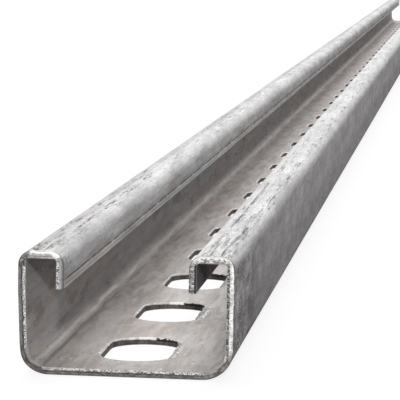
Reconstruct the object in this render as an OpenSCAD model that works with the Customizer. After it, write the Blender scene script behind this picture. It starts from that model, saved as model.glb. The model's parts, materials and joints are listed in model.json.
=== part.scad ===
// Perforated strut channel.
//
// One length of roll-formed steel strip. The web lies flat on the XY plane,
// the length runs along Y and the open mouth faces +Z. The origin is the
// middle of the web's outer face, halfway along the length.

/* [Section] */
// Width over the two side walls
channel_w = 41; // [36:0.5:60]
// Height from the outer face of the web to the top of the flanges
channel_h = 23.5; // [18:0.5:82]
// Thickness of the steel strip
steel_t = 1.5; // [1:0.1:2.5]
// Clear width of the mouth between the two lips
mouth_w = 23.4; // [16:0.2:29]
// Depth of a lip, from the flange top down to the lip's cut edge
lip_depth = 7.2; // [4:0.2:15]
// Outer radius of the bends between web and side walls
web_bend_r = 6; // [3:0.5:10]
// Outer radius of the bends on either side of a flange
flange_bend_r = 2.8; // [2.6:0.1:4]
// Inner radius of the same bends, which the rolls press almost sharp
flange_inner_r = 0.6; // [0.2:0.1:1.1]

/* [Length] */
// Length the channel is cut to
channel_l = 2000; // [250:50:6000]

/* [Slots] */
// Width of a slot across the channel
slot_w = 14; // [8:0.5:18]
// Length of a slot along the channel, end to end
slot_l = 28; // [19:1:42]
// Distance between the centres of neighbouring slots
slot_pitch = 50; // [32:2:100]

/* [Hidden] */
// Flat lengths of strip left between the bends
web_flat = channel_w - 2 * web_bend_r;
wall_flat = channel_h - web_bend_r - flange_bend_r;
flange_flat = (channel_w - mouth_w) / 2 - 2 * flange_bend_r;
lip_flat = lip_depth - flange_bend_r;

// As many whole pitches as the length holds, centred on it
slot_count = floor(channel_l / slot_pitch);
// How far a cut runs past each face it goes through
cut_over = 1;

$fn = 96;

// A straight run of strip along +X, with its outer face on the X axis.
module run(length) {
    square([length, steel_t]);
}

// A quarter bend that follows a run: it starts along +X and ends along +Y.
// Its outer face touches the X axis and has the radius r. The inner face
// rounds the corner by inner_r, or by as much as the strip leaves room for.
module bend(r, inner_r) {
    hollow = r - steel_t;
    fillet = min(inner_r, hollow);
    difference() {
        intersection() {
            translate([0, r]) circle(r = r);
            square([r, r]);
        }
        translate([-cut_over, steel_t + fillet])
            square([cut_over + hollow, hollow + cut_over]);
        translate([-cut_over, steel_t])
            square([cut_over + hollow - fillet, hollow + cut_over]);
        translate([hollow - fillet, steel_t + fillet]) circle(r = fillet);
    }
}

// Moves what follows to the end of a run, or to the end of a bend.
module after_run(length) {
    translate([length, 0]) children();
}

module after_bend(r) {
    translate([r, r]) rotate(90) children();
}

// Half of the section, formed outwards from the middle of the web:
// web, side wall, flange and the lip that turns back into the channel.
module half_section() {
    run(web_flat / 2);
    after_run(web_flat / 2) {
        bend(web_bend_r, web_bend_r - steel_t);
        after_bend(web_bend_r) {
            run(wall_flat);
            after_run(wall_flat) {
                bend(flange_bend_r, flange_inner_r);
                after_bend(flange_bend_r) {
                    run(flange_flat);
                    after_run(flange_flat) {
                        bend(flange_bend_r, flange_inner_r);
                        after_bend(flange_bend_r) run(lip_flat);
                    }
                }
            }
        }
    }
}

module section() {
    half_section();
    mirror([1, 0]) half_section();
}

// One long hole with round ends, cut right through the web.
module slot() {
    end_y = (slot_l - slot_w) / 2;
    cut_h = steel_t + 2 * cut_over;
    translate([0, 0, -cut_over]) {
        for (y = [-end_y, end_y])
            translate([0, y, 0]) cylinder(d = slot_w, h = cut_h);
        translate([-slot_w / 2, -end_y, 0])
            cube([slot_w, 2 * end_y, cut_h]);
    }
}

module strut_channel() {
    color([0.66, 0.65, 0.62])
        difference() {
            // The section's plane is stood up so that it extrudes along Y.
            rotate([90, 0, 0])
                linear_extrude(height = channel_l, center = true)
                    section();
            for (i = [0 : slot_count - 1])
                translate([0, (i - (slot_count - 1) / 2) * slot_pitch, 0])
                    slot();
        }
}

strut_channel();
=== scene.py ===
"""Looks of a perforated strut channel: dull grey steel strip, sheared ends, punched slots.

The CAD solid gives the size and place. The mesh made here is the same channel with the marks
that shearing, punching and roll forming leave on it, and it stands in for the CAD node.
"""

import json
import math
from collections import namedtuple

import bpy
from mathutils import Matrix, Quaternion, Vector, noise


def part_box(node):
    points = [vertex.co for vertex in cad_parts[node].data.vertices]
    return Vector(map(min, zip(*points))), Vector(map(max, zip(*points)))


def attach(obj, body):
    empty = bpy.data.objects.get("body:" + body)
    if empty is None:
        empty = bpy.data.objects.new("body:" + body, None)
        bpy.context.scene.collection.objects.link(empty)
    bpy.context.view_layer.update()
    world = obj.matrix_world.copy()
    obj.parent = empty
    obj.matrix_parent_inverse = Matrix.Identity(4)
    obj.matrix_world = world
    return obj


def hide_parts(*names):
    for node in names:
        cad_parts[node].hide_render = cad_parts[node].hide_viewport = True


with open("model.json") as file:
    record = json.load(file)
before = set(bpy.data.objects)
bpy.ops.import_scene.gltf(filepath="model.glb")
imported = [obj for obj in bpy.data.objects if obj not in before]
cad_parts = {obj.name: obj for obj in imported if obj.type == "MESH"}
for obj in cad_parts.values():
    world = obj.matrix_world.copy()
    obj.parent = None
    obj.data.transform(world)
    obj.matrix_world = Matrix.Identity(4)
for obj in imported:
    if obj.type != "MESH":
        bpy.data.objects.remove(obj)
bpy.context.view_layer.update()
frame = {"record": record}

# ---------------------------------------------------------------- sizes, in metres

MM = 0.001
NODE = "strut_channel"
low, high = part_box(NODE)

HALF_W = high.x
HEIGHT = high.z
HALF_L = high.y
STEEL = 1.5 * MM
MOUTH = 23.4 * MM
LIP_DEPTH = 7.2 * MM
WEB_BEND_R = 6.0 * MM
FLANGE_BEND_R = 2.8 * MM
FLANGE_INNER_R = 0.6 * MM
WEB_HALF = HALF_W - WEB_BEND_R

slot_dims = next(m["dims"] for m in frame["record"]["mounts"] if m["kind"] == "bolt_pattern")
SLOT_R = slot_dims["hole_r_mm"] * MM
SLOT_STRAIGHT = slot_dims["slot_length_mm"] * MM / 2 - SLOT_R
SLOT_PITCH = slot_dims["spacing_y_mm"] * MM
SLOT_COUNT = round(2 * HALF_L / SLOT_PITCH)

# What shearing the ends leaves: a rolled-over outer edge and a sharp inner one.
END_ROLL_R = 0.65 * MM
END_BURR_R = 0.12 * MM
# What slitting the strip leaves on the lips' edges.
LIP_EDGE_R = 0.22 * MM
# The rolled line along each lip's mouth face, from the end of the bend above it.
LIP_GROOVE = 2.8 * MM
LIP_GROOVE_W = 0.22 * MM
LIP_GROOVE_H = 0.13 * MM
# What punching leaves round a slot: a shallow dish and a rolled edge on the face the punch
# came from, of which the straight sides have only a share, and a breakout on the far face.
RIM_DISH_W = 0.55 * MM
RIM_DISH_H = 0.05 * MM
RIM_ROLL_W = 0.5 * MM
RIM_ROLL_H = 0.68 * MM
RIM_ROLL_STEPS = 5
RIM_SIDE_SHARE = 0.5
BREAKOUT_W = 0.12 * MM
BREAKOUT_H = 0.4 * MM
# How unevenly it cut, the size of those marks, and the level strip of web that the rim's
# mesh takes in round all that.
RIM_WOBBLE = 0.05 * MM
RIM_GRAIN = 1.1 * MM
RIM_MARGIN = 0.3 * MM
# How far the worn punch dragged the steel into a slot on its right side, and each ring's share
# of that, from the web's inner face down. Then how much it differs within a slot, the size of
# those marks, and how much it differs between slots, by a sine of their number with this
# step and start. It grows from nothing to all of that between these two places across a
# slot, and between these two along it.
DRAG = 0.95 * MM
DRAG_SHARES = (0, 0, 0, 0.12, 0.3, 0.52, 0.78, 1, 0.95, 0.85, 0.7, 0)
DRAG_RAGGED = 0.3
DRAG_GRAIN = 1.6 * MM
DRAG_UNEVEN = 0.3
DRAG_STEP, DRAG_FIRST = 2.1, -1.2
DRAG_ACROSS = (0.5 * MM, 5.5 * MM)
DRAG_ALONG = (12.5 * MM, 8.5 * MM)
# How far in the left wall stands above its bend, where it springs open, and the heights
# between which it comes and goes.
SPRING = 0.42 * MM
SPRING_START = 1.5 * MM
SPRING_MOST = 5.5 * MM
SPRING_END = 16 * MM
# The waves that rolling leaves in the faces: their mean depth, and their size across and
# along the strip.
WAVE_H = 0.045 * MM
WAVE_ACROSS = 30 * MM
WAVE_ALONG = 110 * MM
# The unevenness of a sheared end, fine and coarse: the size of its marks, and their depth.
END_GRAIN = 0.35 * MM
END_GRAIN_H = 0.03 * MM
END_RIPPLE = 2.5 * MM
END_RIPPLE_H = 0.04 * MM

# ---------------------------------------------------------------- the strip's cross-section

# Steps of the mesh over each stretch of the section.
WEB_STEPS = 6
WEB_BEND_STEPS = 8
WALL_STEPS = 5
FLANGE_BEND_STEPS = 7
FLANGE_STEPS = 2
EDGE_STEPS = 3

# A rib is one line through the strip's thickness: where it meets the outer face and the
# inner face, how far the strip has turned up to there, how far along it the rib lies from
# the web's middle, how far the rounding of a lip's edge pinches the strip, and how deep the
# outer face is dented.
Rib = namedtuple("Rib", "outer inner turn along pinch dent", defaults=(0.0, 0.0))


def heading(turn):
    """The way along the strip, away from the web's middle, where it has turned this far."""
    return Vector((math.cos(turn), math.sin(turn)))


def inwards(turn):
    """The way from the outer face into the steel there."""
    return Vector((-math.sin(turn), math.cos(turn)))


def flat_rib(outer, turn, along, pinch=0.0, dent=0.0):
    """A rib square to both faces."""
    return Rib(outer, outer + inwards(turn) * STEEL, turn, along, pinch, dent)


def half_ribs(fine):
    """Ribs from the edge of the flat web out to the right-hand lip's edge."""
    ribs = [flat_rib(Vector((WEB_HALF, 0)), 0.0, WEB_HALF)]

    def run(length, steps, dent=0.0):
        """Go straight on."""
        for _ in range(steps):
            last, step = ribs[-1], length / steps
            outer = last.outer + heading(last.turn) * step
            ribs.append(flat_rib(outer, last.turn, last.along + step, dent=dent))

    def bend(radius, inner_radius, steps):
        """Turn by 90 degrees round two centres, one for each face."""
        first = ribs[-1]
        start, end = first.turn, first.turn + math.pi / 2
        centre = first.outer + radius * inwards(start)
        tighter = radius - STEEL - inner_radius
        inner_centre = centre - tighter * (inwards(start) + inwards(end))
        for i in range(1, steps + 1):
            swept = math.pi / 2 * i / steps
            arm = -inwards(start + swept)
            along = first.along + swept * (radius - STEEL / 2)
            outer, inner = centre + radius * arm, inner_centre + inner_radius * arm
            ribs.append(Rib(outer, inner, start + swept, along))

    bend(WEB_BEND_R, WEB_BEND_R - STEEL, WEB_BEND_STEPS * fine)
    run(HEIGHT - WEB_BEND_R - FLANGE_BEND_R, WALL_STEPS * fine)
    bend(FLANGE_BEND_R, FLANGE_INNER_R, FLANGE_BEND_STEPS * fine)
    run(HALF_W - MOUTH / 2 - 2 * FLANGE_BEND_R, FLANGE_STEPS * fine)
    bend(FLANGE_BEND_R, FLANGE_INNER_R, FLANGE_BEND_STEPS * fine)
    run(LIP_GROOVE - LIP_GROOVE_W, 2 * fine)
    run(LIP_GROOVE_W, fine, LIP_GROOVE_H)
    run(LIP_GROOVE_W, fine)
    run(LIP_DEPTH - FLANGE_BEND_R - LIP_EDGE_R - LIP_GROOVE - LIP_GROOVE_W, fine)
    edge = ribs[-1]
    for i in range(1, EDGE_STEPS + 1):
        angle = math.pi / 2 * i / EDGE_STEPS
        step = LIP_EDGE_R * math.sin(angle)
        pinch = LIP_EDGE_R * (1 - math.cos(angle))
        outer = edge.outer + heading(edge.turn) * step
        ribs.append(flat_rib(outer, edge.turn, edge.along + step, pinch))
    return ribs


def mirrored(rib):
    """The same rib on the left half."""
    outer, inner = (Vector((-point.x, point.y)) for point in (rib.outer, rib.inner))
    return rib._replace(outer=outer, inner=inner, turn=-rib.turn, along=-rib.along)


def all_ribs(fine):
    """Ribs of the whole section, from the left lip's edge to the right lip's edge."""
    right = half_ribs(fine)
    steps = WEB_STEPS * fine
    xs = [WEB_HALF * (2 * i / steps - 1) for i in range(1, steps)]
    web = [flat_rib(Vector((x, 0)), 0.0, x) for x in xs]
    return [mirrored(rib) for rib in reversed(right)] + web + right


RIBS = all_ribs(1)
# The ribs at the two edges of the flat web.
WEB_FIRST = len(half_ribs(1)) - 1
WEB_LAST = WEB_FIRST + WEB_STEPS

# How far along the strip, from the web's middle, its stretches end.
WALL_START = WEB_HALF + math.pi / 2 * (WEB_BEND_R - STEEL / 2)
WALL_END = WALL_START + HEIGHT - WEB_BEND_R - FLANGE_BEND_R
FLANGE_START = WALL_END + math.pi / 2 * (FLANGE_BEND_R - STEEL / 2)
FLANGE_END = FLANGE_START + HALF_W - MOUTH / 2 - 2 * FLANGE_BEND_R
LIP_START = FLANGE_END + math.pi / 2 * (FLANGE_BEND_R - STEEL / 2)
STRIP_HALF = LIP_START + LIP_DEPTH - FLANGE_BEND_R

# ---------------------------------------------------------------- the mesh


class Skin:
    """Vertices and faces of the channel, with each vertex's place on the flat strip."""

    def __init__(self):
        self.verts, self.strip, self.faces, self.slots, self.known = [], [], [], [], {}

    def vert(self, place, strip):
        """The number of a new vertex."""
        self.verts.append(place)
        self.strip.append(strip)
        return len(self.verts) - 1

    def face(self, corners, slot):
        self.faces.append(corners)
        self.slots.append(slot)

    def grid(self, rows, slot, flip):
        """Quads between rows of vertices."""
        for a, b in zip(rows, rows[1:]):
            for i in range(len(a) - 1):
                corners = (a[i], a[i + 1], b[i + 1], b[i])
                self.face(corners[::-1] if flip else corners, slot)


OUTSIDE, INSIDE, CUT, PUNCHED = range(4)
skin = Skin()


def add_object(name, data):
    thing = bpy.data.objects.new(name, data)
    bpy.context.scene.collection.objects.link(thing)
    return thing


def ramp(value, start, end):
    """From 0 at start evenly to 1 at end, and no further on either side."""
    return min(max((value - start) / (end - start), 0), 1)


def smooth(share):
    """A share from 0 to 1 that starts and stops gently."""
    return share * share * (3 - 2 * share)


def waviness(along, y):
    """How far the strip's faces lie inside their nominal place, from rolling."""
    return WAVE_H * (1 + noise.noise(Vector((along / WAVE_ACROSS, y / WAVE_ALONG, 3.0))))


def sprung(height):
    """How far in the left wall stands at a height, because its bend opened after the rolls."""
    rise = ramp(height, SPRING_START, SPRING_MOST)
    return SPRING * smooth(rise) * ramp(height, SPRING_END, SPRING_MOST)


def on_strip(rib, y, inward):
    """A point at a depth under the strip's outer face, at a rib and a place along the length."""
    through = inward / STEEL
    sunk = waviness(rib.along, y) + rib.pinch * (1 - 2 * through) + rib.dent * (1 - through)
    spot = rib.outer.lerp(rib.inner, through) + inwards(rib.turn) * sunk
    if rib.along < -WEB_HALF:
        spot.x += sprung(spot.y)
    return Vector((spot.x, y, spot.y))


def section_vert(station, y, index, inside):
    """The one vertex of a rib at a station, on its inner or outer face."""
    key = (station, index, inside)
    if key not in skin.known:
        rib, inward = RIBS[index], STEEL if inside else 0.0
        skin.known[key] = skin.vert(on_strip(rib, y, inward), (rib.along, y, inward))
    return skin.known[key]


# ------------------------------------------------ stations along the length

TILE_STEPS = 6  # rows of one slot's stretch of channel
END_CLEAR = 1.8 * MM  # where the fine mesh of a cut end takes over


def all_stations():
    """Places of every row along the length, and the middles of the slots."""
    places, middles = [], []
    for i in range(SLOT_COUNT):
        middle = (i - (SLOT_COUNT - 1) / 2) * SLOT_PITCH
        first = middle - SLOT_PITCH / 2 + (END_CLEAR if i == 0 else 0)
        last = middle + SLOT_PITCH / 2 - (END_CLEAR if i == SLOT_COUNT - 1 else 0)
        places += [first + (last - first) * k / TILE_STEPS for k in range(TILE_STEPS)]
        middles.append(middle)
    return places + [last], middles


STATIONS, MIDDLES = all_stations()


def sweep_sides():
    """The bends, walls, flanges and lips: everything but the flat web."""
    for inside in (False, True):
        for ribs in (range(0, WEB_FIRST + 1), range(WEB_LAST, len(RIBS))):
            rows = [
                [section_vert(j, y, i, inside) for i in ribs] for j, y in enumerate(STATIONS)
            ]
            skin.grid(rows, INSIDE if inside else OUTSIDE, not inside)
    for index, flip in ((0, True), (len(RIBS) - 1, False)):
        rows = [
            [section_vert(j, y, index, True), section_vert(j, y, index, False)]
            for j, y in enumerate(STATIONS)
        ]
        skin.grid(rows, CUT, flip)


# ------------------------------------------------ the web and its slots

# Steps round each end of a slot and along half of each side. They give a ring twice as many
# vertices as the border of its stretch has, which fan_pair needs.
ROUND_STEPS = 18
STRAIGHT_STEPS = 3


def slot_outline(offset):
    """Points round a slot, grown by offset, from the middle of its right side, anticlockwise."""
    radius = SLOT_R + offset
    points = [(radius, SLOT_STRAIGHT * k / STRAIGHT_STEPS) for k in range(STRAIGHT_STEPS)]
    for k in range(ROUND_STEPS):
        angle = math.pi * k / ROUND_STEPS
        points.append((radius * math.cos(angle), SLOT_STRAIGHT + radius * math.sin(angle)))
    left = [(-radius, SLOT_STRAIGHT * (1 - k / STRAIGHT_STEPS)) for k in range(STRAIGHT_STEPS)]
    half = points + left
    return half + [(-x, -y) for x, y in half]


def rim_profile():
    """Offset and height of the rings from the web's inner face down through the slot."""
    dish = RIM_ROLL_W + RIM_DISH_W
    rings = [(dish + RIM_MARGIN, STEEL), (dish, STEEL)]
    for k in range(RIM_ROLL_STEPS + 1):
        angle = math.pi / 2 * k / RIM_ROLL_STEPS
        drop = RIM_DISH_H + RIM_ROLL_H * (1 - math.cos(angle))
        rings.append((RIM_ROLL_W * (1 - math.sin(angle)), STEEL - drop))
    rings += [(0, BREAKOUT_H), (BREAKOUT_W * 0.6, BREAKOUT_H * 0.4), (BREAKOUT_W, 0)]
    rings.append((dish + RIM_MARGIN, 0))
    return rings


def rim_height(y, z):
    """The height of a point of a rim: its edge rolls over less along the straight sides."""
    if z <= BREAKOUT_H:
        return z
    ends = ramp(abs(y), SLOT_STRAIGHT, SLOT_STRAIGHT + SLOT_R)
    return STEEL - (STEEL - z) * (RIM_SIDE_SHARE + (1 - RIM_SIDE_SHARE) * ends)


def from_spine(x, y):
    """The way to a point from the nearest point of the line between a slot's two centres."""
    return Vector((x, math.copysign(max(abs(y) - SLOT_STRAIGHT, 0), y)))


def dragged(tile, x, y):
    """How far the steel hangs into a slot at a point of its outline."""
    ragged = 1 + DRAG_RAGGED * noise.noise(Vector((x, MIDDLES[tile] + y, 0)) / DRAG_GRAIN)
    uneven = 1 + DRAG_UNEVEN * math.sin(DRAG_STEP * tile + DRAG_FIRST)
    faded = smooth(ramp(x, *DRAG_ACROSS)) * smooth(ramp(y, *DRAG_ALONG))
    return DRAG * uneven * ragged * faded


def ring_verts(tile, offset, z, wobble, drag):
    """One ring of vertices round a slot, at a height, with its share of the drag."""
    middle = MIDDLES[tile]
    found = []
    for x, y in slot_outline(offset):
        rough = noise.noise(Vector((x, middle + y, z)) / RIM_GRAIN)
        spot = Vector((x, y))
        spot += spot.normalized() * wobble * rough
        spot -= from_spine(x, y).normalized() * drag * dragged(tile, x, y)
        height = rim_height(y, z) + waviness(spot.x, middle + spot.y)
        place = Vector((spot.x, middle + spot.y, height))
        found.append(skin.vert(place, (spot.x, middle + spot.y, z)))
    return found


def tile_border(tile, inside):
    """The vertices round one slot's stretch of web, from the middle of its right side."""
    start = tile * TILE_STEPS
    half = TILE_STEPS // 2
    right = [(start + half + k, WEB_LAST) for k in range(half)]
    far = [(start + TILE_STEPS, WEB_LAST - k) for k in range(WEB_STEPS)]
    left = [(start + TILE_STEPS - k, WEB_FIRST) for k in range(TILE_STEPS)]
    near = [(start, WEB_FIRST + k) for k in range(WEB_STEPS)]
    rest = [(start + k, WEB_LAST) for k in range(half)]
    return [section_vert(j, STATIONS[j], i, inside) for j, i in right + far + left + near + rest]


def ring_pair(a, b, slot):
    """Quads between two closed rings of the same count."""
    n = len(a)
    for k in range(n):
        skin.face((a[k], a[(k + 1) % n], b[(k + 1) % n], b[k]), slot)


def fan_pair(outer, inner, slot, flip):
    """Faces from a border to a ring that has twice as many vertices."""
    n = len(outer)
    for k in range(n):
        a, b, c = inner[2 * k], inner[2 * k + 1], inner[(2 * k + 2) % (2 * n)]
        corners = (outer[k], outer[(k + 1) % n], c, b, a)
        skin.face(corners if flip else corners[::-1], slot)


def ring_slot(k, count):
    """The material between ring k of a slot and the next one."""
    if k < RIM_ROLL_STEPS + 2:
        return INSIDE
    return PUNCHED if k < count - 2 else OUTSIDE


def punch_web():
    """The flat web of each slot's stretch, with the slot's rolled rim, wall and breakout."""
    profile = rim_profile()
    for tile in range(SLOT_COUNT):
        rings = []
        for k, (offset, z) in enumerate(profile):
            wobble = 0 if k in (0, len(profile) - 1) else RIM_WOBBLE
            rings.append(ring_verts(tile, offset, z, wobble, DRAG_SHARES[k]))
        fan_pair(tile_border(tile, True), rings[0], INSIDE, True)
        fan_pair(tile_border(tile, False), rings[-1], OUTSIDE, False)
        for k in range(len(rings) - 1):
            ring_pair(rings[k], rings[k + 1], ring_slot(k, len(rings)))


# ------------------------------------------------ the cut ends

FINE = 6  # steps of a cut end to one step of the section
END_DEEP = 1.2 * MM  # how far in its fine mesh reaches
END_ROLL_STEPS = 5
END_FACE_STEPS = 4
END_BURR_STEPS = 3


def end_profile():
    """Depth under the outer face, and distance in from the cut, round the end of the strip."""
    rows = [(0, END_DEEP), (0, 0.9 * MM)]
    for k in range(END_ROLL_STEPS + 1):
        angle = math.pi / 2 * k / END_ROLL_STEPS
        rows.append((END_ROLL_R * (1 - math.cos(angle)), END_ROLL_R * (1 - math.sin(angle))))
    flat = STEEL - END_ROLL_R - END_BURR_R
    rows += [(END_ROLL_R + flat * k / END_FACE_STEPS, 0) for k in range(1, END_FACE_STEPS + 1)]
    for k in range(1, END_BURR_STEPS + 1):
        angle = math.pi / 2 * k / END_BURR_STEPS
        inset = END_BURR_R * math.sin(angle)
        rows.append((STEEL - END_BURR_R + inset, END_BURR_R * (1 - math.cos(angle))))
    rows += [(STEEL, 0.6 * MM), (STEEL, END_DEEP)]
    return rows


ROLL_ROW = 2  # the row of the profile where the rolled edge starts
BURR_ROW = ROLL_ROW + END_ROLL_STEPS + END_FACE_STEPS + 1  # the first row round the inner edge


def rib_at(i):
    """The place in the fine ribs of the coarse section's rib i."""
    plain = len(RIBS) - 1 - 2 * EDGE_STEPS
    inner = min(max(i - EDGE_STEPS, 0), plain)
    return i + inner * (FINE - 1)


def cut_end(station, side):
    """The last millimetre or so of the channel at one end, with its sheared face."""
    fine_ribs = all_ribs(FINE)
    rows = []
    for inward, back in end_profile():
        row = []
        for rib in fine_ribs:
            grain = noise.noise(Vector((rib.along, inward, side)) / END_GRAIN)
            ripple = noise.noise(Vector((rib.along, 5.0, side)) / END_RIPPLE)
            rough = END_GRAIN_H * (1 + grain) + END_RIPPLE_H * (1 + ripple)
            sunk = back + max(0.0, 1 - back / END_ROLL_R) * rough
            y = side * (HALF_L - sunk)
            row.append(skin.vert(on_strip(rib, y, inward), (rib.along, y, inward)))
        rows.append(row)
    flip = side > 0
    skin.grid(rows[: ROLL_ROW + 1], OUTSIDE, flip)
    skin.grid(rows[ROLL_ROW : BURR_ROW + 1], CUT, flip)
    skin.grid(rows[BURR_ROW:], INSIDE, flip)
    y = STATIONS[station]
    for row, inside in ((rows[0], False), (rows[-1], True)):
        coarse = [section_vert(station, y, i, inside) for i in range(len(RIBS))]
        for i in range(len(RIBS) - 1):
            chain = row[rib_at(i) : rib_at(i + 1) + 1]
            corners = chain + [coarse[i + 1], coarse[i]]
            skin.face(corners if inside != flip else corners[::-1], INSIDE if inside else OUTSIDE)
    for last, index in ((0, 0), (-1, len(RIBS) - 1)):
        loop = [row[last] for row in rows]
        loop += [section_vert(station, y, index, True), section_vert(station, y, index, False)]
        skin.face(loop if (last == 0) == (side < 0) else loop[::-1], CUT)


sweep_sides()
punch_web()
cut_end(0, -1)
cut_end(len(STATIONS) - 1, 1)

mesh = bpy.data.meshes.new("channel_steel")
mesh.from_pydata([tuple(v) for v in skin.verts], [], skin.faces)
mesh.polygons.foreach_set("material_index", skin.slots)
mesh.polygons.foreach_set("use_smooth", [True] * len(skin.faces))
strip = mesh.attributes.new("strip", "FLOAT_VECTOR", "POINT")
strip.data.foreach_set("vector", [c for row in skin.strip for c in row])
mesh.validate()
mesh.update()
channel = add_object("channel_steel", mesh)

# ---------------------------------------------------------------- the flat pattern

# The strip laid out flat on one square page. Its outer and inner faces take three columns
# each, one to a third of the length, split between slots. Each slot's rim and wall lie in
# its hole, the lips' edges lie beside the outer face, and both cut ends lie, drawn larger,
# over the shorter columns.
COLUMN = 118 * MM
PAGE = 6 * COLUMN
PAGE_EDGE = 4 * MM
FOLD = 7 * SLOT_PITCH  # the faces are split this far from the middle, either way
THIRDS = (0, 4, 2)  # the columns where the near, middle and far third start
WALL_SCALE = 2.5  # how much larger the slots' walls and the lips' edges are drawn
END_SCALE = 4.5  # the same for the cut ends
END_ROWS = (668 * MM, 688 * MM)  # how far up the page the near and the far one lie
RIM_REACH = 2 * MM  # no part of a slot's rim or wall lies further from its outline
TINY = 0.001 * MM


def into_slot(across, along, depth):
    """Where a point of the inner side lies in its column: rims and walls go into the hole."""
    middle = (math.floor(along / SLOT_PITCH) + 0.5) * SLOT_PITCH
    arm = from_spine(across, along - middle)
    if arm.length > SLOT_R + RIM_REACH:
        return across, along
    drawn = arm.normalized() * WALL_SCALE * (STEEL - depth)
    return across - drawn.x, along - drawn.y


def page_spots(corners, slot):
    """The places on the page of one face's corners.

    A third's outer face lies in its first column, seen from outside, and its inner face in
    the next one.
    """
    middle = sum(along for _, along, _ in corners) / len(corners)
    lip_edge = all(abs(across) > STRIP_HALF - TINY for across, _, _ in corners)
    if slot == CUT and not lip_edge:
        side = math.copysign(1, middle)
        left, row = 2 * COLUMN, END_ROWS[side > 0] - END_SCALE * HALF_L
        return [
            (left - side * END_SCALE * across, row + END_SCALE * (depth + abs(along)))
            for across, along, depth in corners
        ]
    third = (middle > -FOLD) + (middle > FOLD)
    start = (-HALF_L, -FOLD, FOLD)[third]
    left = THIRDS[third] * COLUMN
    spots = []
    for across, along, depth in corners:
        if slot in (INSIDE, PUNCHED):
            x, y = into_slot(across, along, depth)
            x += 1.5 * COLUMN
        else:
            x, y = across, along
            if slot == CUT:
                x += math.copysign(WALL_SCALE * depth, across)
            x = COLUMN / 2 - x
        spots.append((left + x, PAGE_EDGE + y - start))
    return spots


def lay_flat():
    """Give the mesh its map."""
    page = mesh.uv_layers.new(name="OFBake")
    spots = []
    for corners, slot in zip(skin.faces, skin.slots):
        spots += page_spots([skin.strip[i] for i in corners], slot)
    page.uv.foreach_set("vector", [c / PAGE for spot in spots for c in spot])


lay_flat()

# ---------------------------------------------------------------- materials


# How far apart two layers of grain, or of marks, lie in their noise.
GRAIN_SHIFT = (7.3, 3.1, 1.7)
MARKS_SHIFT = (5.7, 2.9, 0.0)


class Nodes:
    """A node tree, with short ways to build it."""

    def __init__(self, owner):
        owner.use_nodes = True
        self.tree = owner.node_tree

    def node(self, kind):
        return self.tree.nodes.new("ShaderNode" + kind)

    def link(self, source, target):
        if isinstance(source, bpy.types.NodeSocket):
            self.tree.links.new(source, target)
        else:
            target.default_value = source

    def math(self, operation, first, second=None):
        node = self.node("Math")
        node.operation = operation
        self.link(first, node.inputs[0])
        if second is not None:
            self.link(second, node.inputs[1])
        return node.outputs[0]


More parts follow.
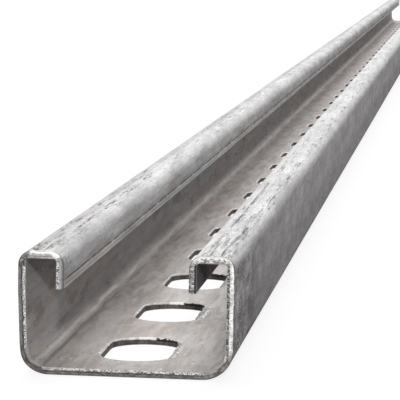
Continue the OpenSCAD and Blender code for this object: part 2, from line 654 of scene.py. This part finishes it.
class Finish(Nodes):
    """A material under construction, with short ways to say what its nodes do."""

    def __init__(self, name):
        self.material = bpy.data.materials.new(name)
        super().__init__(self.material)
        self.shader = self.tree.nodes["Principled BSDF"]
        self.base = None
        self.seed = 0
        strip_data = self.node("Attribute")
        strip_data.attribute_name = "strip"
        self.strip = strip_data.outputs["Vector"]
        parts = self.node("SeparateXYZ")
        self.link(self.strip, parts.inputs[0])
        self.across, self.along, self.depth = parts.outputs
        self.side = self.math("ABSOLUTE", self.across)

    def times(self, *factors):
        total = factors[0]
        for factor in factors[1:]:
            total = self.math("MULTIPLY", total, factor)
        return total

    def plus(self, first, second):
        return self.math("ADD", first, second)

    def minus(self, first, second):
        return self.math("SUBTRACT", first, second)

    def most(self, first, second):
        return self.math("MAXIMUM", first, second)

    def swing(self, noise_value, width):
        """A shift to either side, by up to half the width, from a noise between 0 and 1."""
        return self.times(self.minus(noise_value, 0.5), width)

    def step(self, value, start, end, low=0.0, high=1.0):
        """A smooth change from low to high as the value goes from start to end."""
        node = self.node("MapRange")
        node.interpolation_type = "SMOOTHSTEP"
        if start > end:
            start, end, low, high = end, start, high, low
        self.link(value, node.inputs["Value"])
        limits = {"From Min": start, "From Max": end, "To Min": low, "To Max": high}
        for name, number in limits.items():
            node.inputs[name].default_value = number
        return node.outputs[0]

    def band(self, value, start, end, soft):
        """1 between start and end, fading to 0 over a soft width outside them."""
        rise = self.step(value, start - soft, start)
        return self.times(rise, self.step(value, end + soft, end))

    def sides(self, left, right):
        """One value on the left half of the channel, going over to another on the right."""
        return self.step(self.across, -10 * MM, 10 * MM, left, right)

    def near_end(self, reach):
        """1 at the cut ends of the channel, fading to 0 over a reach along the length."""
        return self.step(self.math("ABSOLUTE", self.along), HALF_L - reach, HALF_L)

    def grain(self, across, along, depth=1.0, detail=3.0, rough=0.55, warp=0.0):
        """Noise between 0 and 1 whose features have these sizes, in millimetres."""
        self.seed += 1
        scale = self.node("VectorMath")
        scale.operation = "MULTIPLY"
        self.link(self.strip, scale.inputs[0])
        scale.inputs[1].default_value = [1 / (size * MM) for size in (across, along, depth)]
        shift = self.node("VectorMath")
        shift.operation = "ADD"
        self.link(scale.outputs[0], shift.inputs[0])
        shift.inputs[1].default_value = [part * self.seed for part in GRAIN_SHIFT]
        node = self.node("TexNoise")
        node.inputs["Scale"].default_value = 1.0
        node.inputs["Detail"].default_value = detail
        node.inputs["Roughness"].default_value = rough
        node.inputs["Distortion"].default_value = warp
        self.link(shift.outputs[0], node.inputs["Vector"])
        return node.outputs[0]

    def blots(self, start, end, *sizes, **kind):
        """Blots of such a grain: 0 where it is under start, 1 where it is over end."""
        return self.step(self.grain(*sizes, **kind), start, end)

    def marks(self, across, along, size, share, ragged=0.5):
        """Separate small marks: one to a cell of these sizes, a share of the cells filled."""
        self.seed += 1
        place = self.node("VectorMath")
        place.operation = "MULTIPLY_ADD"
        self.link(self.strip, place.inputs[0])
        place.inputs[1].default_value = (1 / (across * MM), 1 / (along * MM), 0)
        place.inputs[2].default_value = [part * self.seed for part in MARKS_SHIFT]
        cell = self.node("TexVoronoi")
        cell.voronoi_dimensions = "2D"
        cell.inputs["Scale"].default_value = 1.0
        self.link(place.outputs[0], cell.inputs["Vector"])
        rough = self.grain(across * 0.35, along * 0.3, rough=0.7)
        away = self.plus(cell.outputs["Distance"], self.times(rough, ragged))
        near = self.step(away, size + ragged / 2, size * 0.75 + ragged / 2)
        return self.times(near, self.step(cell.outputs["Color"], share + 0.04, share))

    def mix(self, amount, first, second):
        node = self.node("Mix")
        node.data_type = "RGBA"
        self.link(amount, node.inputs[0])
        for source, target in ((first, node.inputs[6]), (second, node.inputs[7])):
            self.link((*source, 1) if isinstance(source, tuple) else source, target)
        return node.outputs[2]

    def coat(self, colour, *amounts):
        """A colour over the base, as thick as the product of the amounts."""
        self.base = self.mix(self.times(*amounts), self.base, colour)

    def shade(self, colour, level):
        """The colour made lighter or darker by a level round 1."""
        node = self.node("VectorMath")
        node.operation = "SCALE"
        self.link(colour, node.inputs[0])
        self.link(level, node.inputs["Scale"])
        return node.outputs[0]

    def bump(self, height, depth, normal=None):
        """A relief whose height, from 0 to 1, stands for a depth in millimetres."""
        node = self.node("Bump")
        node.inputs["Strength"].default_value = 1.0
        node.inputs["Distance"].default_value = depth * MM
        self.link(height, node.inputs["Height"])
        if normal is not None:
            self.link(normal, node.inputs["Normal"])
        return node.outputs[0]

    def wear(self, colour, roughness, normal, metallic=0.0, specular=0.15):
        for name, value in (("Base Color", colour), ("Roughness", roughness), ("Normal", normal)):
            self.link(value, self.shader.inputs[name])
        self.link(metallic, self.shader.inputs["Metallic"])
        self.shader.inputs["Specular IOR Level"].default_value = specular
        return self.material


def outside_steel():
    """The faces the rolls ran on: lighter flanges, sides painted darker as shade and darkest at
    their foot, and nicks along the length.
    """
    f = Finish("steel_outside")
    flange = f.band(f.side, FLANGE_START - 1.6 * MM, LIP_START, 2.4 * MM)
    lip = f.step(f.side, FLANGE_END + 1.0 * MM, LIP_START)
    handled = f.near_end(70 * MM)
    by_end = f.near_end(22 * MM)

    cloud = f.grain(5, 38, detail=4)
    blot = f.grain(1.5, 13, warp=0.3)
    streak = f.grain(0.45, 18)
    fleck = f.grain(0.35, 2.4)
    level = f.times(
        f.step(cloud, 0.28, 0.72, 0.84, 1.13),
        f.step(blot, 0.28, 0.72, 0.88, 1.09),
        f.step(streak, 0.3, 0.7, 0.91, 1.08),
        f.step(fleck, 0.25, 0.75, 0.90, 1.09),
    )

    # Painted shade: the sides darker than the flanges, and darker still at their foot by the
    # web's bend.
    shaded_foot = f.band(f.side, WALL_START - 3 * MM, WALL_START + 3 * MM, 6 * MM)
    shaded_sides = f.mix(f.times(shaded_foot, 0.9), (0.46, 0.43, 0.445), (0.315, 0.292, 0.305))
    shaded_sides = f.shade(shaded_sides, f.step(f.near_end(150 * MM), 0, 0.9, 1.0, 0.74))
    shaded_sides = f.shade(shaded_sides, f.step(f.near_end(8 * MM), 0.2, 0.7, 1.0, 0.70))
    f.base = f.mix(flange, shaded_sides, (0.66, 0.655, 0.66))
    # Painted shade on the left wall's bend up to its flange.
    shaded_left_bend = f.times(f.band(f.across, -FLANGE_START - 0.4 * MM, -WALL_END - 0.2 * MM, 1.4 * MM), 0.8)
    f.coat((0.48, 0.455, 0.475), shaded_left_bend)
    brown = f.times(lip, f.blots(0.52, 0.64, 3, 30, warp=0.3))
    lip_tone = f.mix(brown, (0.66, 0.665, 0.67), (0.585, 0.54, 0.515))
    f.coat(lip_tone, lip)

    # Grime on the flanges: broad smudges, and clusters of short dark nicks that run with
    # the length among a few long hairlines.
    middle = (FLANGE_START + FLANGE_END) / 2
    top = f.band(f.side, middle - 2.6 * MM, middle + 1.7 * MM, 1.2 * MM)
    rows = f.band(f.side, FLANGE_END - 1.1 * MM, FLANGE_END - 0.3 * MM, 0.35 * MM)
    rows = f.most(rows, f.band(f.across, FLANGE_START - 0.9 * MM, FLANGE_START, 0.35 * MM))
    left_row = f.band(f.across, -FLANGE_START - 0.9 * MM, -FLANGE_START - 0.3 * MM, 0.35 * MM)
    rows = f.most(rows, f.times(left_row, 0.75))
    smudge = f.times(f.blots(0.49, 0.66, 0.9, 9, detail=4, rough=0.65, warp=0.4), top)
    f.coat((0.27, 0.26, 0.255), smudge, f.step(handled, 0, 0.6, 0.25, 0.55))
    crowd = f.plus(f.grain(1.1, 16, rough=0.6), f.times(handled, 0.07))
    crowd = f.minus(crowd, f.step(f.near_end(220 * MM), 0.5, 0, 0, 0.07))
    crowd = f.minus(crowd, f.step(rows, 1, 0, 0, 0.11))
    crowd = f.times(f.step(crowd, 0.47, 0.53), top)
    nick = f.most(f.marks(0.8, 9, 0.27, 0.75, 0.7), f.marks(0.55, 5, 0.25, 0.5, 0.6))
    nick = f.times(nick, f.sides(1.0, 0.5))
    hair = f.blots(0.53, 0.58, 0.19, 26, detail=2, rough=0.5)
    hair = f.times(hair, f.sides(0.45, 0.95))
    marks = f.most(f.times(nick, crowd), f.times(hair, crowd))
    stray = f.most(f.blots(0.63, 0.69, 0.14, 16), f.marks(1.6, 12, 0.13, 0.15))
    marks = f.most(marks, f.times(stray, top, 0.75))
    rusty = f.times(f.step(handled, 0, 0.8), f.sides(1.0, 0.1))
    rust = f.mix(rusty, (0.06, 0.055, 0.05), (0.12, 0.08, 0.045))
    f.coat(rust, marks, 0.9)
    pale = f.times(f.marks(0.7, 6, 0.24, 0.3), flange)
    f.coat((0.72, 0.715, 0.70), pale, 0.4)

    # The sides: light and dark smears and scratches, strongest by the cut ends, and bright
    # flecks under the bend.
    wall = f.band(f.side, WALL_START - 4 * MM, WALL_END - 0.5 * MM, 1.5 * MM)
    dirty = f.times(wall, f.step(handled, 0, 0.7, 0.2, 1.0))
    tone = f.step(f.grain(4.5, 9, rough=0.5, warp=0.3), 0.38, 0.62, 0.52, 1.42)
    tone = f.times(tone, f.step(f.grain(1.3, 10, rough=0.6), 0.36, 0.64, 0.80, 1.18))
    tone = f.plus(1, f.times(dirty, f.minus(tone, 1)))
    f.base = f.shade(f.base, tone)
    scrape = f.blots(0.58, 0.65, 0.5, 14, rough=0.6, warp=0.3)
    f.coat((0.09, 0.083, 0.088), scrape, dirty, 0.65)
    glint = f.blots(0.60, 0.67, 0.36, 5, rough=0.65, warp=0.3)
    dust = f.blots(0.55, 0.61, 0.28, 2.4, rough=0.7)
    dusty = f.step(f.near_end(40 * MM), 0.22, 0.36)
    glint = f.most(f.times(glint, handled), f.times(dust, dusty, 0.8))
    f.coat((0.80, 0.79, 0.80), glint, wall, 0.7)
    bend = f.band(f.side, WALL_END - 4 * MM, WALL_END + 1.5 * MM, 2.5 * MM)
    spark = f.times(f.blots(0.63, 0.70, 0.3, 3), bend)
    f.coat((0.60, 0.59, 0.59), spark, 0.7)

    # The rolled line along the lip, broken in places, the lip a little darker under it, and a
    # painted highlight along its bottom edge.
    groove = LIP_START + LIP_GROOVE
    line = f.band(f.side, groove - 0.10 * MM, groove + 0.10 * MM, 0.14 * MM)
    line = f.times(line, f.step(f.grain(1.0, 6), 0.38, 0.55, 0.2, 1.0))
    f.coat((0.13, 0.125, 0.12), line)
    below = f.step(f.side, groove + 0.15 * MM, groove + 0.45 * MM)
    f.coat((0.42, 0.41, 0.40), below, 0.35)
    scuff = f.blots(0.54, 0.62, 0.9, 0.5, detail=4, rough=0.7, warp=0.6)
    scuff = f.most(scuff, f.marks(1.6, 0.7, 0.22, 0.5))
    f.coat((0.17, 0.165, 0.165), scuff, lip, f.step(by_end, 0.1, 0.8, 0.1, 0.8))
    # Painted highlight: a bright line along the lip's bottom edge.
    edge = f.step(f.side, STRIP_HALF - 0.50 * MM, STRIP_HALF - 0.34 * MM)
    f.coat((0.97, 0.96, 0.95), edge)

    colour = f.shade(f.base, level)
    rough = f.step(fleck, 0.3, 0.7, 0.70, 0.54)
    relief = f.bump(f.plus(f.times(blot, 0.4), f.times(streak, 0.4)), 0.05)
    relief = f.bump(marks, -0.08, relief)
    relief = f.bump(edge, 0.16, relief)
    return f.wear(colour, rough, relief, specular=0.05)


def inside_steel():
    """The faces inside the channel: warm grey, stained, smeared and finely scratched, with
    painted shade and highlights in places.
    """
    f = Finish("steel_inside")
    wall = f.step(f.side, WEB_HALF + 1 * MM, WALL_START - 1 * MM)
    web = f.step(wall, 1, 0)
    lip = f.step(f.side, LIP_START - 1 * MM, LIP_START)
    handled = f.near_end(50 * MM)

    cloud = f.grain(5, 34, detail=4, warp=0.3)
    haze = f.grain(1.6, 11, warp=0.4)
    lane = f.grain(0.8, 45)
    fleck = f.grain(0.35, 2.2)
    level = f.times(
        f.step(cloud, 0.28, 0.72, 0.87, 1.035),
        f.step(haze, 0.3, 0.7, 0.94, 1.04),
        # Painted shade: the web darker towards its right side.
        f.step(f.times(f.across, web), -8 * MM, 8 * MM, 1.03, 0.92),
        f.step(lane, 0.3, 0.7, 0.95, 1.04),
        f.step(fleck, 0.25, 0.75, 0.94, 1.06),
        f.step(f.times(web, f.near_end(14 * MM)), 0, 0.8, 1.0, 0.77),
        # Painted shade: the inner faces of the lips darker near the cut ends, in the pockets
        # under the flanges.
        f.step(f.times(lip, f.near_end(30 * MM)), 0, 0.6, 1.0, 0.5),
    )

    clean, stain = (0.475, 0.443, 0.423), (0.40, 0.34, 0.308)
    f.base = f.mix(f.blots(0.47, 0.62, 6, 36, detail=4, warp=0.4), clean, stain)
    cool, warm = (0.54, 0.525, 0.535), (0.535, 0.485, 0.465)
    shadowed = f.mix(f.blots(0.46, 0.6, 6, 36, warp=0.4), cool, warm)
    f.coat(shadowed, wall)
    rust = f.blots(0.62, 0.72, 2.5, 5, detail=5, rough=0.7, warp=0.8)
    f.coat((0.36, 0.24, 0.16), rust, web, 0.45)

    # Cool, dark smears on the web beside the bends, which away from the ends are also painted
    # shade by the walls, and by the cut ends; dark smudges on the walls.
    beside = f.band(f.side, 8 * MM, 15 * MM, 4 * MM)
    smear = f.blots(0.49, 0.63, 2.2, 16, detail=4, rough=0.6, warp=0.6)
    smear_and_shade_reach = f.step(f.near_end(90 * MM), 0.1, 0.8, 0.7, 0.15)
    amount = f.most(f.times(beside, smear_and_shade_reach), f.times(handled, 0.25))
    f.coat((0.26, 0.245, 0.255), smear, amount, web)
    smudge = f.blots(0.53, 0.66, 3.6, 24, detail=4, warp=0.5)
    f.coat((0.27, 0.235, 0.23), smudge, wall, 0.6)
    # Painted shadow of the left lip on the web's left side, away from the ends.
    painted_lip_shadow = f.band(f.across, -15 * MM, -9 * MM, 6 * MM)
    painted_lip_shadow = f.times(painted_lip_shadow, f.step(f.near_end(110 * MM), 0.4, 0.1))
    f.coat((0.20, 0.17, 0.155), painted_lip_shadow, 0.3)

    # Two lines that the rolls left along each bend: a pale one, and a dark one next to it.
    broken = f.step(f.grain(1.6, 26), 0.34, 0.52, 0.1, 0.9)
    sway = f.swing(f.grain(40, 30, detail=2), 1.6 * MM)
    swayed = f.plus(f.side, sway)
    pale = f.band(swayed, 17.3 * MM, 17.8 * MM, 0.5 * MM)
    dark = f.band(swayed, 15.6 * MM, 16.1 * MM, 0.45 * MM)
    fresh = f.step(f.near_end(190 * MM), 0, 0.5, 0.45, 1.0)
    f.coat((0.68, 0.66, 0.64), pale, broken, fresh)
    gap = f.blots(0.42, 0.54, 1.6, 34)
    f.coat((0.19, 0.17, 0.165), dark, gap, fresh, 0.8)

    # Scratches, most of them by the cut ends, and specks of bare metal.
    hair = f.blots(0.65, 0.71, 0.16, 14, detail=2, warp=0.5)
    cross = f.blots(0.70, 0.75, 2.4, 0.9, detail=2, warp=1.2)
    marks = f.times(f.most(hair, cross), f.step(web, 0, 1, 0.3, 1.0))
    nick = f.times(f.marks(1.2, 7, 0.15, 0.35), f.step(handled, 0, 0.8, 0.3, 1.0))
    marks = f.most(marks, nick)
    f.coat((0.15, 0.13, 0.125), marks, 0.5)
    fine = f.blots(0.62, 0.68, 0.22, 3.0, warp=1.2)
    fine = f.times(fine, handled, f.band(f.side, 12 * MM, 19 * MM, 3 * MM))
    speck = f.times(f.marks(1.9, 9, 0.11, 0.35, 0.2), f.step(handled, 0, 0.5, 0.2, 1.0))
    f.coat((0.74, 0.71, 0.66), f.most(fine, speck), 0.6)

    # The slots' rims: a painted highlight as a pale line along the top of the rolled edge, and
    # painted shade below it going down into the hole. Each has a painted highlight in the middle
    # of its far end and is darkest next to that, and is notched down its right side.
    down = f.minus(STEEL, f.depth)
    ragged = f.swing(f.grain(1.2, 1.2, 6), 0.4 * MM)
    deeper = f.plus(down, f.times(f.step(down, 0.02 * MM, 0.2 * MM), ragged))
    # Painted highlight: a pale line along the top of the rolled edge.
    line = f.band(deeper, 0.09 * MM, 0.42 * MM, 0.06 * MM)
    line = f.times(line, f.step(f.grain(3, 3, 6), 0.36, 0.50, 0.35, 1.0))
    # Painted shade: the rolled edge dark where it turns down into the hole.
    painted_hole_shade = f.step(deeper, 0.46 * MM, 0.56 * MM)
    own = f.minus(f.math("FLOORED_MODULO", f.along, SLOT_PITCH), SLOT_PITCH / 2)
    far_end = f.step(own, SLOT_STRAIGHT, SLOT_STRAIGHT + 2 * MM)
    drift = f.swing(f.grain(900, 60, 900, detail=1), 3 * MM)
    drift = f.plus(drift, f.swing(f.grain(1.1, 1.1, 0.4), 2.4 * MM))
    spot = f.plus(f.across, drift)
    torn = f.times(f.band(spot, 1.6 * MM, 6.2 * MM, 0.3 * MM), far_end)
    reach = f.step(f.grain(0.9, 0.9, 9, rough=0.65), 0.40, 0.68, 0.02 * MM, 0.34 * MM)
    torn = f.times(torn, f.step(f.minus(down, reach), -0.01 * MM, 0.04 * MM))
    # Painted highlight in the middle of each slot's far end.
    painted_far_highlight = f.blots(0.60, 0.64, 4.5, 4.5, 12, detail=4, rough=0.6)
    painted_far_highlight = f.most(painted_far_highlight, f.times(f.band(spot, -1.5 * MM, 1.0 * MM, 0.5 * MM), far_end))
    painted_far_highlight = f.times(painted_far_highlight, f.step(down, 0.02 * MM, 0.06 * MM), f.step(deeper, 0.66 * MM, 0.56 * MM))
    past = f.most(f.minus(f.math("ABSOLUTE", own), SLOT_STRAIGHT), 0)
    away = f.math("SQRT", f.plus(f.math("POWER", f.across, 2), f.math("POWER", past, 2)))
    burr = f.band(away, SLOT_R - 2.2 * MM, SLOT_R + 0.62 * MM, 0.12 * MM)
    burr = f.times(burr, f.step(f.across, 1.5 * MM, 3.0 * MM), f.step(own, 11 * MM, 9 * MM))
    notch = f.blots(0.52, 0.57, 0.5, 1.3, 0.9, rough=0.6)
    shine = f.step(f.grain(9, 40, 900, detail=2), 0.44, 0.52, 0.1, 1.0)
    shine = f.times(shine, f.blots(0.40, 0.56, 1.6, 4, 9))
    pulled = f.mix(shine, (0.27, 0.255, 0.25), (0.74, 0.72, 0.69))
    lifted = f.step(away, SLOT_R + 0.05 * MM, SLOT_R + 0.35 * MM)
    pulled = f.mix(lifted, pulled, (0.80, 0.78, 0.75))
    gritty = f.mix(notch, pulled, (0.06, 0.05, 0.05))
    f.coat((0.66, 0.64, 0.61), line)
    f.coat((0.93, 0.91, 0.88), painted_far_highlight, 0.9)
    f.coat((0.075, 0.062, 0.058), painted_hole_shade)
    f.coat((0.03, 0.025, 0.025), torn)
    f.coat(gritty, burr, 0.85)

    colour = f.shade(f.base, level)
    rough = f.step(haze, 0.3, 0.7, 0.62, 0.48)
    relief = f.bump(f.plus(f.times(haze, 0.5), f.times(fleck, 0.3)), 0.05)
    relief = f.bump(marks, -0.03, relief)
    return f.wear(colour, rough, relief)


def cut_steel():
    """A sheared edge: a dull part where the blade ran in, a dark line and a torn bright part.

    Each stretch of the strip is painted its own way: the rolled band dark as shade where it faces
    left or down, and with bright painted highlights where it faces up or to the right.
    """
    f = Finish("steel_cut")
    ragged = f.swing(f.grain(0.9, 1, 9, detail=4, rough=0.6), 0.5 * MM)
    deep = f.plus(f.depth, ragged)
    speck = f.grain(0.26, 1, 0.34, rough=0.75)
    grit = f.grain(0.8, 1, 0.35, detail=4, rough=0.65)
    patch = f.grain(2.2, 1, 0.8, rough=0.6)
    mottle = f.step(grit, 0.36, 0.64)
    broken = f.step(f.grain(1.2, 1, 9), 0.36, 0.55, 0.3, 1.0)
    bright = f.mix(f.step(speck, 0.40, 0.60), (0.22, 0.21, 0.19), (0.80, 0.78, 0.73))

    # The web and the left wall: painted shade on the rolled band, darker still at the two bottom
    # corners.
    outer = f.mix(mottle, (0.125, 0.12, 0.125), (0.25, 0.24, 0.245))
    f.base = f.mix(f.step(deep, 0.90 * MM, 1.02 * MM), outer, bright)
    finger = f.times(f.blots(0.48, 0.66, 0.32, 1, 9, rough=0.7), 0.34 * MM)
    line = f.band(f.minus(deep, finger), 0.72 * MM, 0.90 * MM, 0.06 * MM)
    f.coat((0.022, 0.018, 0.022), line, broken, 0.95)
    shaded_foot = f.band(f.across, -WALL_START + 2 * MM, -WEB_HALF - 2 * MM, 2.5 * MM)
    f.coat(f.mix(mottle, (0.055, 0.045, 0.04), (0.21, 0.185, 0.18)), shaded_foot, 0.75)
    shaded_heel = f.band(f.across, WEB_HALF + 0.5 * MM, WALL_START - 3 * MM, 1.5 * MM)
    f.coat(f.mix(mottle, (0.10, 0.085, 0.08), (0.36, 0.33, 0.31)), shaded_heel, 0.7)

    # The right wall: a painted highlight on the rolled band towards the outside, pitted towards
    # the inside.
    pits = f.blots(0.46, 0.54, 0.34, 1, 0.5, detail=2, rough=0.6)
    chipped = f.mix(mottle, (0.30, 0.28, 0.275), (0.50, 0.47, 0.46))
    pitted = f.mix(pits, (0.06, 0.055, 0.055), chipped)
    nib = f.blots(0.34, 0.56, 0.26, 1, 0.7, rough=0.7)
    nib = f.plus(f.times(nib, 0.65), f.times(f.step(patch, 0.36, 0.62), 0.35))
    painted_highlight = f.mix(nib, (0.27, 0.26, 0.26), (1.0, 0.985, 0.97))
    ridge = f.band(deep, 0.26 * MM, 0.86 * MM, 0.12 * MM)
    right = f.mix(f.step(deep, 0.5 * MM, 0.7 * MM), (0.13, 0.12, 0.125), pitted)
    right = f.mix(ridge, right, painted_highlight)
    f.coat(right, f.step(f.across, WALL_START - 2.5 * MM, WALL_START + 0.5 * MM))

    # The flanges: a painted highlight along the outer edge over mottled grey, and a dark crease
    # in mid-thickness; the right one is darker.
    flange = f.band(f.side, WALL_END + 1.6 * MM, LIP_START - 1.7 * MM, 0.8 * MM)
    grey = f.mix(f.step(speck, 0.40, 0.62), (0.30, 0.29, 0.28), (0.60, 0.585, 0.57))
    crease = f.band(deep, 0.98 * MM, 1.06 * MM, 0.09 * MM)
    grey = f.mix(f.times(crease, broken, 0.8), grey, (0.17, 0.155, 0.145))
    grey = f.mix(f.step(f.depth, 1.34 * MM, 1.46 * MM, 0.0, 0.7), grey, (0.20, 0.18, 0.16))
    grey = f.mix(f.band(deep, 0.16 * MM, 0.44 * MM, 0.08 * MM), grey, (0.93, 0.92, 0.90))
    grey = f.shade(grey, f.sides(0.95, 0.72))
    f.coat(grey, flange)
    # Painted highlight on the cut of the bends down to the lips.
    turn = f.band(f.side, FLANGE_END + 0.5 * MM, LIP_START - 1.9 * MM, 0.6 * MM)
    turn = f.times(turn, f.band(f.depth, 0.35 * MM, 1.15 * MM, 0.15 * MM))
    f.coat((0.84, 0.83, 0.815), turn, 0.85)
    # Painted shade on the cut of the top-left corner, where the left wall turns into its flange;
    # the dark mottle here is painted shade.
    shaded_corner = f.band(f.across, -FLANGE_START + 0.7 * MM, -WALL_END - 0.1 * MM, 0.7 * MM)
    scale = f.mix(f.step(grit, 0.44, 0.60), (0.045, 0.045, 0.04), (0.36, 0.355, 0.33))
    f.coat(scale, shaded_corner, 0.95)

    # The lips: the left one pitted along its inner edge, the right one dark and streaked.
    lip = f.step(f.side, LIP_START - 1.7 * MM, LIP_START - 0.7 * MM)
    plain = f.mix(f.step(f.depth, 0.25 * MM, 0.65 * MM), (0.19, 0.19, 0.192), (0.36, 0.36, 0.36))
    dots = f.blots(0.45, 0.52, 0.30, 1, 0.5, detail=2)
    dots = f.mix(dots, (0.06, 0.055, 0.055), (0.62, 0.62, 0.60))
    plain = f.mix(f.step(deep, 0.84 * MM, 0.94 * MM), plain, dots)
    f.coat(plain, lip, f.step(f.across, 1 * MM, -1 * MM))
    streak = f.blots(0.50, 0.60, 0.22, 1, 1.6, rough=0.65)
    streak = f.times(streak, f.band(deep, 0.30 * MM, 1.0 * MM, 0.12 * MM))
    dark = f.mix(mottle, (0.07, 0.065, 0.07), (0.26, 0.255, 0.26))
    dark = f.mix(f.step(deep, 0.95 * MM, 1.15 * MM), dark, (0.04, 0.037, 0.037))
    dark = f.mix(f.times(streak, 0.9), dark, (0.80, 0.80, 0.81))
    f.coat(dark, lip, f.step(f.across, -1 * MM, 1 * MM))

    # The right flange is torn rougher than the left one, in bright and dark grains.
    torn = f.blots(0.43, 0.57, 0.55, 1, 0.45, rough=0.65)
    torn = f.mix(torn, (0.17, 0.16, 0.155), (0.88, 0.87, 0.85))
    over = f.times(flange, f.band(deep, 0.55 * MM, 1.25 * MM, 0.12 * MM))
    over = f.times(over, f.sides(0.0, 0.75))
    f.coat(torn, over)

    rough = f.step(speck, 0.3, 0.7, 0.58, 0.42)
    relief = f.bump(f.times(speck, f.step(deep, 0.6 * MM, 0.9 * MM)), 0.18)
    relief = f.bump(grit, 0.06, relief)
    metal = f.step(speck, 0.40, 0.60, 0.05, 0.35)
    return f.wear(f.base, rough, relief, metal)


def punched_steel():
    """The wall of a slot: painted dark as the shade in the hole, drawn through by the punch, torn
    at the bottom.
    """
    f = Finish("steel_punched")
    drag = f.grain(0.3, 0.3, 4)
    patch = f.grain(2, 2, 2)
    f.base = f.mix(f.step(patch, 0.35, 0.65), (0.075, 0.06, 0.055), (0.15, 0.135, 0.13))
    colour = f.shade(f.base, f.step(drag, 0.3, 0.7, 0.75, 1.25))
    return f.wear(colour, 0.6, f.bump(drag, 0.06))


SHARP_ANGLE = 50  # degrees between faces from which an edge looks sharp

for finish in (outside_steel, inside_steel, cut_steel, punched_steel):
    mesh.materials.append(finish())
mesh.set_sharp_from_angle(angle=math.radians(SHARP_ANGLE))

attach(channel, "root")
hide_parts(NODE)

# ---------------------------------------------------------------- floor, lamps and camera

FLOOR_SIZE = 60
FLOOR_GREY = (0.18, 0.18, 0.18, 1)
FLOOR_GLOW = 0.85  # of white, for the rays that show the background
AMBIENT = 0.05  # the world's light on the object
# Name, bearing and height of the source in degrees, strength, and width in degrees. A bearing
# of 0 is off the near end, and 90 is off the +X side.
LAMPS = (
    ("key_lamp", 8.5, 19, 2.3, 2.5),
    ("front_lamp", 0, 35, 0.3, 50),
    ("back_lamp", 190, 45, 2.9, 50),
    ("left_lamp", 270, 15, 0.7, 40),
    ("right_lamp", 75, 42, 0.4, 60),
)
# The camera's place, just outside the near end, and the bearing and height it faces from and
# its roll, in radians.
CAMERA_PLACE = (0.0638, low.y - 0.467, 0.0833)
CAMERA_TURN = (0.107, 0.1048, 0.018)
LENS, SENSOR = 229.6, 36.0


def add_floor():
    floor_mesh = bpy.data.meshes.new("floor")
    half = FLOOR_SIZE / 2
    corners = [(-half, -half, 0), (half, -half, 0), (half, half, 0), (-half, half, 0)]
    floor_mesh.from_pydata(corners, [], [(0, 1, 2, 3)])
    floor = add_object("floor", floor_mesh)
    floor_mesh.materials.append(floor_material())


def seen_rays(n):
    """A factor of 1 where a ray comes from the camera, a reflection or a clear material."""
    rays = n.node("LightPath").outputs
    seen = n.math("MAXIMUM", rays["Is Camera Ray"], rays["Is Glossy Ray"])
    return n.math("MAXIMUM", seen, rays["Is Transmission Ray"])


def floor_material():
    """White for what looks at it, over a plain surface that still takes a shadow."""
    material = bpy.data.materials.new("studio_floor")
    n = Nodes(material)
    n.tree.nodes.clear()
    paper, glow, both = n.node("BsdfDiffuse"), n.node("Emission"), n.node("AddShader")
    paper.inputs["Color"].default_value = FLOOR_GREY
    n.link(n.math("MULTIPLY", seen_rays(n), FLOOR_GLOW), glow.inputs["Strength"])
    n.link(paper.outputs[0], both.inputs[0])
    n.link(glow.outputs[0], both.inputs[1])
    n.link(both.outputs[0], n.node("OutputMaterial").inputs["Surface"])
    return material


def light_world():
    """White for what looks at it, and a low even light on the object."""
    world = bpy.data.worlds.new("studio")
    bpy.context.scene.world = world
    n = Nodes(world)
    back = n.tree.nodes["Background"]
    back.inputs["Color"].default_value = (1, 1, 1, 1)
    level = n.node("MapRange")
    level.inputs["To Min"].default_value = AMBIENT
    level.inputs["To Max"].default_value = 1.0
    n.link(seen_rays(n), level.inputs["Value"])
    n.link(level.outputs["Result"], back.inputs["Strength"])


def face_from(thing, bearing, height, roll=0.0):
    """Turn a lamp or a camera so that it faces down the line from a bearing and a height."""
    reach = math.cos(height)
    source = Vector((math.sin(bearing) * reach, -math.cos(bearing) * reach, math.sin(height)))
    thing.rotation_mode = "QUATERNION"
    aim = source.to_track_quat("Z", "Y")
    thing.rotation_quaternion = aim @ Quaternion((0, 0, 1), roll)


def add_sun(name, bearing, height, strength, spread):
    lamp = bpy.data.lights.new(name, "SUN")
    lamp.energy = strength
    lamp.angle = math.radians(spread)
    face_from(add_object(name, lamp), math.radians(bearing), math.radians(height))


def add_camera():
    """From just outside the near end, looking along the channel and a little down."""
    camera = add_object("camera", bpy.data.cameras.new("camera"))
    camera.data.lens = LENS
    camera.data.sensor_width = SENSOR
    camera.data.clip_start = 0.01
    camera.data.clip_end = 200
    camera.location = CAMERA_PLACE
    face_from(camera, *CAMERA_TURN)
    bpy.context.scene.camera = camera


add_floor()
light_world()
for sun_lamp in LAMPS:
    add_sun(*sun_lamp)
add_camera()

bpy.context.scene.view_settings.view_transform = "Standard"
bpy.context.view_layer.update()
